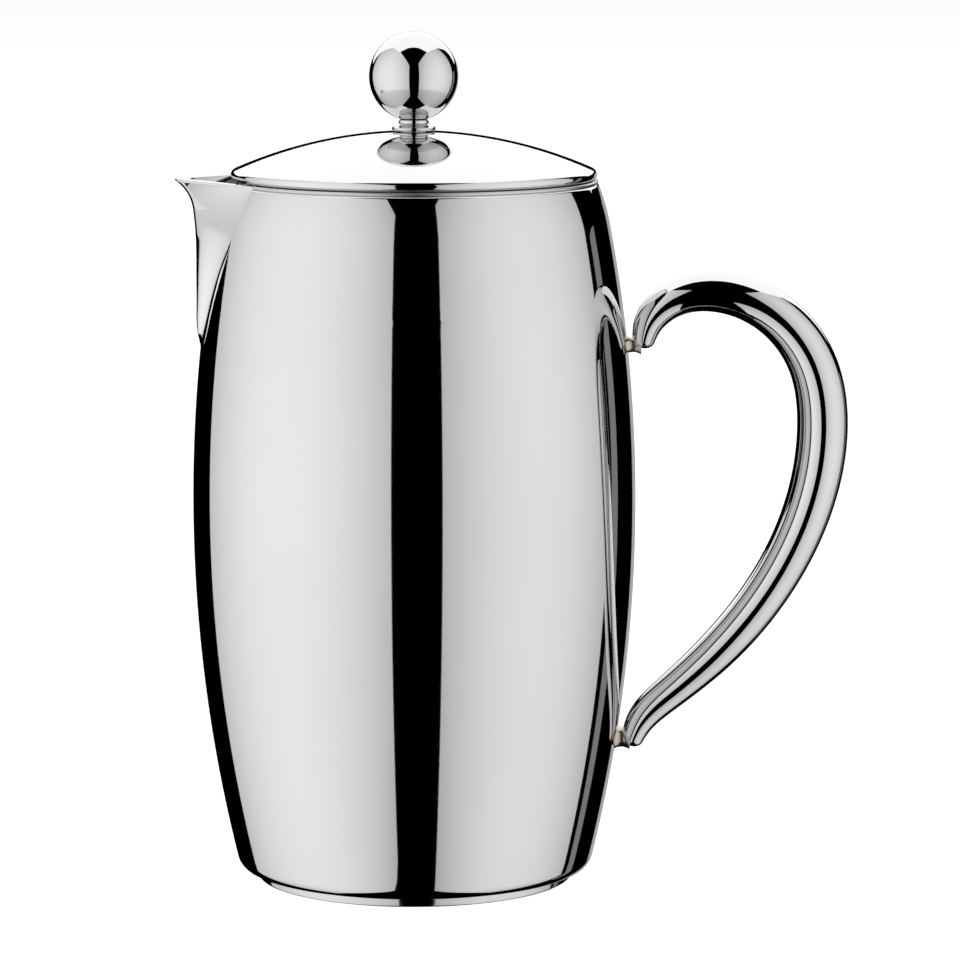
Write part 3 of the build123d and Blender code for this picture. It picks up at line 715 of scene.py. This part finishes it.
finishes = {
    "potPolish": (look(), [outerShell]),
    "footPolish": (look(dark=(0.56, 0.56, 0.57), light=(0.64, 0.64, 0.65), rough=0.07), [baseCap]),
    "spoutPolish": (look(broadScale=30.0), [spout]),
    "handlePolish": (look(broadScale=26.0, dark=(0.61, 0.61, 0.615)), [handle]),
    "lidPolish": (look(dark=(0.65, 0.65, 0.66), light=(0.70, 0.70, 0.71), broadScale=14.0), [lidDome]),
    "knobPolish": (look(broadScale=60.0, rough=0.03), [ballKnob, knobCollar]),
    "satinVessel": (
        look(dark=(0.52, 0.52, 0.53), light=(0.64, 0.64, 0.65), rough=0.3, roughSpread=0.16,
             grain=(6, 6, 900), fineScale=3.0, relief=0.25, depth=0.02),
        [innerVessel, spoutThroat, lidSkirt],
    ),
    "weldSteel": (
        look(dark=(0.47, 0.44, 0.40), light=(0.60, 0.57, 0.52), rough=0.24, roughSpread=0.12, tint=heatTint),
        stubPieces,
    ),
    "bushPolish": (
        look(dark=(0.55, 0.52, 0.49), light=(0.64, 0.61, 0.585), rough=0.09, grain=(1, 1, 40), fineScale=90.0,
             relief=0.1, depth=0.01),
        [guideBush],
    ),
    "groundRod": (
        look(dark=(0.56, 0.56, 0.57), light=(0.66, 0.66, 0.67), rough=0.16, roughSpread=0.1,
             grain=(4, 4, 500), fineScale=8.0, relief=0.15, depth=0.01),
        [plungerRod, bushNut, rodCollar, filterNut],
    ),
    "pressedPlate": (
        look(dark=(0.54, 0.54, 0.54), light=(0.64, 0.64, 0.64), rough=0.22, roughSpread=0.12,
             grain=(500, 8, 8), fineScale=4.0, relief=0.15, depth=0.01),
        [screenRim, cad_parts["cross_plate"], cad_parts["spiral_plate"]],
    ),
    "springWire": (
        look(dark=(0.50, 0.50, 0.50), light=(0.64, 0.64, 0.64), rough=0.2, roughSpread=0.1, fineScale=600.0),
        [edgeSpring],
    ),
}
for name, (values, owners) in finishes.items():
    material = steel(name, values)
    for owner in owners:
        owner.data.materials.clear()
        owner.data.materials.append(material)
print("finishes made:", len(finishes))

# Woven wire: two sets of ridges at right angles, each dipping where the other passes over it; the low ground between
# them is painted dark, as painted shade for the openings between the wires
# the gap colour is painted shade between the wires
weave = {"pitch": 0.36, "gap": (0.10, 0.10, 0.10), "wire": (0.72, 0.72, 0.71), "rough": 0.32}
woven = bpy.data.materials.new("wovenWire")
woven.use_nodes = True
wire = Wire(woven.node_tree)
wovenShader = woven.node_tree.nodes["Principled BSDF"]
sheetUv = wire.node("ShaderNodeUVMap", {"uv_map": "sheet"})
tree = woven.node_tree
parts = tree.nodes.new("ShaderNodeSeparateXYZ")
tree.links.new(sheetUv.socket, parts.inputs[0])
warp, weft = [Wire(tree, parts.outputs[k]) * (math.pi / weave["pitch"]) for k in (0, 1)]
warpRidge = wire.maths("ABSOLUTE", wire.maths("SINE", warp))
weftRidge = wire.maths("ABSOLUTE", wire.maths("SINE", weft))
over = wire.maths("SINE", warp * 0.5) * wire.maths("SINE", weft * 0.5)
height = wire.maths("MAXIMUM", warpRidge + over * 0.15, weftRidge - over * 0.15)
gapShadeMask = wire.maths("SMOOTH_MIN", height * 1.2, 1.0)
# painted shade: the colour falls to the near-black gap colour where the ridges are low, between the wires
wovenTone = colourMix(wire, wire.maths("POWER", gapShadeMask, 3.0), weave["gap"], weave["wire"])
wovenBump = wire.node("ShaderNodeBump", None, {"Height": height, "Strength": 0.6, "Distance": 0.15 * millimetre})
tree.links.new(wovenTone.socket, wovenShader.inputs["Base Color"])
tree.links.new(wovenBump.socket, wovenShader.inputs["Normal"])
wovenShader.inputs["Roughness"].default_value = weave["rough"]
wovenShader.inputs["Metallic"].default_value = 0.9
meshScreen.data.materials.clear()
meshScreen.data.materials.append(woven)

# Studio: soft cards on a sphere round the object, placed by the direction that they are seen in.
# Turn 0 is towards the camera and 90 towards the handle; rise is above the horizon; both in degrees.
cards = {
    "leftBox": {"turn": (-131, -11), "rise": (-68, 62), "spread": 0.7, "strength": 1.22, "edge": 0.62},
    "rightBox": {"turn": (15, 119), "rise": (-68, 62), "spread": 0.7, "strength": 1.10, "edge": 0.62},
    "rightGlimpse": {"turn": (124, 131), "rise": (-40, 6), "spread": 0, "strength": 0.25, "edge": 1.0},
    "rightEdge": {"turn": (158, 172), "rise": (-30, 3), "spread": 0, "strength": 0.45, "edge": 1.0},
}
# The ceiling reaches down to each rise at the turn above it, and up to straight overhead
ceiling = {
    "turn": [0, 40, 54, 66, 97, 122, 138, 144, 216, 231, 250, 294, 306, 320, 360],
    "rise": [83, 80, 76, 60, 56, 46, 30, 9.8, 9.8, 34, 55, 60, 76, 80, 83],
    "strength": 1.42,
}
cardDistance = 3000.0
ceilingDistance = 2900.0


def dome_(turn, low, high, distance):
    # a sheet on a sphere about the object: each turn runs evenly from its low rise to its high one
    share = np.linspace(0, 1, 33)[:, None]
    rise = low * (1 - share) + high * share
    grid = distance * np.stack(
        np.broadcast_arrays(np.sin(turn) * np.cos(rise), -np.cos(turn) * np.cos(rise), np.sin(rise)), axis=-1
    )
    grid[..., 2] += 100
    return grid


def sideCard(values):
    # the top and bottom edges of a box fall towards the camera, as those of a flat panel at the side do
    turn = np.radians(np.linspace(*values["turn"], 65))[None]
    low, high = [
        np.arctan(math.tan(math.radians(limit)) * np.abs(np.sin(turn)) ** values["spread"])
        for limit in values["rise"]
    ]
    return dome_(turn, low, high, cardDistance)


def card(name, grid, values):
    rows, columns = grid.shape[:2]
    i, j = np.meshgrid(np.arange(rows - 1), np.arange(columns - 1), indexing="ij")
    first = i * columns + j
    quads = np.stack([first, first + 1, first + columns + 1, first + columns], axis=-1).reshape(-1, 4)
    mesh = bpy.data.meshes.new(name)
    mesh.from_pydata((grid.reshape(-1, 3) * millimetre).tolist(), [], quads.tolist())
    layer = mesh.uv_layers.new(name="card")
    share = np.stack(np.meshgrid(np.linspace(0, 1, columns), np.linspace(0, 1, rows)), axis=-1).reshape(-1, 2)
    layer.data.foreach_set("uv", share[quads.ravel()].astype(np.float32).ravel())
    made = bpy.data.objects.new(name, mesh)
    scene.collection.objects.link(made)
    made.visible_camera = False
    made.visible_shadow = False
    # brightest in the middle and falling to the edge as a parabola
    material = bpy.data.materials.new(name)
    material.use_nodes = True
    tree = material.node_tree
    tree.nodes.clear()
    wire = Wire(tree)
    uvMap = wire.node("ShaderNodeUVMap", {"uv_map": "card"})
    split = tree.nodes.new("ShaderNodeSeparateXYZ")
    tree.links.new(uvMap.socket, split.inputs[0])
    across, upward = [Wire(tree, split.outputs[k]) * 2 - 1 for k in (0, 1)]
    fall = 1 - values.get("edge", 1)
    level = values["strength"] * (1 - fall * (across * across)) * (1 - fall * 0.6 * (upward * upward))
    if "oneSided" in values:
        level = level * wire.node("ShaderNodeNewGeometry", output=6)
    glow = wire.node("ShaderNodeEmission", None, {"Color": (1, 1, 1, 1), "Strength": level})
    out = tree.nodes.new("ShaderNodeOutputMaterial")
    tree.links.new(glow.socket, out.inputs["Surface"])
    mesh.materials.append(material)
    return made


for name, values in cards.items():
    card(name, sideCard(values), values)
ceilingTurn = np.linspace(0, 360, 181)[None]
ceilingRise = np.interp(ceilingTurn, ceiling["turn"], ceiling["rise"])
ceilingGrid = dome_(np.radians(ceilingTurn), np.radians(ceilingRise), math.pi / 2, ceilingDistance)
card("ceiling", ceilingGrid, ceiling)

# A narrow card close to the spout: each sight line from the camera that meets the spout's near side is
# thrown on as v - 2 (v . n) n, and the card stands where those lines are a short way out.
view = {"x": 16.9, "distance": 1214.0, "height": 269.0, "aimHeight": 103.3, "width": 247.6, "sensor": 36.0}
spoutCard = {"top": 169.0, "reach": 45.0, "strength": 1.2, "edge": 0.8, "oneSided": True}
nearSide = beakGrid[beakHeights < spoutCard["top"], sideShare.size + turn.shape[1] + 1:-1]
alongRow = np.gradient(nearSide, axis=1)
upColumn = np.gradient(nearSide, axis=0)
faceNormal = np.cross(alongRow, upColumn)
faceNormal /= np.linalg.norm(faceNormal, axis=-1, keepdims=True)
sight = nearSide - np.array([view["x"], -view["distance"], view["height"]])
sight /= np.linalg.norm(sight, axis=-1, keepdims=True)
thrown = sight - 2 * (sight * faceNormal).sum(axis=-1, keepdims=True) * faceNormal
card("spoutCard", nearSide + spoutCard["reach"] * thrown, spoutCard)

floorMesh = bpy.data.meshes.new("floor")
floorMesh.from_pydata([(-30, -30, 0), (30, -30, 0), (30, 30, 0), (-30, 30, 0)], [], [(0, 1, 2, 3)])
floor = bpy.data.objects.new("floor", floorMesh)
scene.collection.objects.link(floor)
floor.visible_glossy = False
floorMaterial = bpy.data.materials.new("paleFloor")
floorMaterial.use_nodes = True
floorTree = floorMaterial.node_tree
floorTree.nodes.clear()
wire = Wire(floorTree)
matt = wire.node("ShaderNodeBsdfDiffuse", None, {"Color": (0.3, 0.3, 0.3, 1)})
lit = wire.node("ShaderNodeEmission", None, {"Color": (1, 1, 1, 1), "Strength": 0.96})
both = wire.node("ShaderNodeAddShader", None, {0: matt, 1: lit})
floorOut = floorTree.nodes.new("ShaderNodeOutputMaterial")
floorTree.links.new(both.socket, floorOut.inputs["Surface"])
floorMesh.materials.append(floorMaterial)

# The backdrop is white to the eye and black behind the cards
world = bpy.data.worlds.new("studio")
scene.world = world
world.use_nodes = True
worldTree = world.node_tree
worldTree.nodes.clear()
wire = Wire(worldTree)
seen = wire.node("ShaderNodeLightPath", output=0)
backdrop = wire.node("ShaderNodeBackground", None, {"Color": (1, 1, 1, 1), "Strength": seen})
worldOut = worldTree.nodes.new("ShaderNodeOutputWorld")
worldTree.links.new(backdrop.socket, worldOut.inputs["Surface"])
scene.view_settings.view_transform = "Standard"

cameraData = bpy.data.cameras.new("camera")
camera = bpy.data.objects.new("camera", cameraData)
scene.collection.objects.link(camera)
drop = view["height"] - view["aimHeight"]
sightLength = math.hypot(view["distance"], drop)
cameraData.sensor_width = view["sensor"]
cameraData.lens = view["sensor"] * sightLength / view["width"]
cameraData.clip_start = 0.05
cameraData.clip_end = 100
camera.location = (view["x"] * millimetre, -view["distance"] * millimetre, view["height"] * millimetre)
camera.rotation_euler = (math.pi / 2 - math.atan2(drop, view["distance"]), 0, 0)
scene.camera = camera
print("studio made")
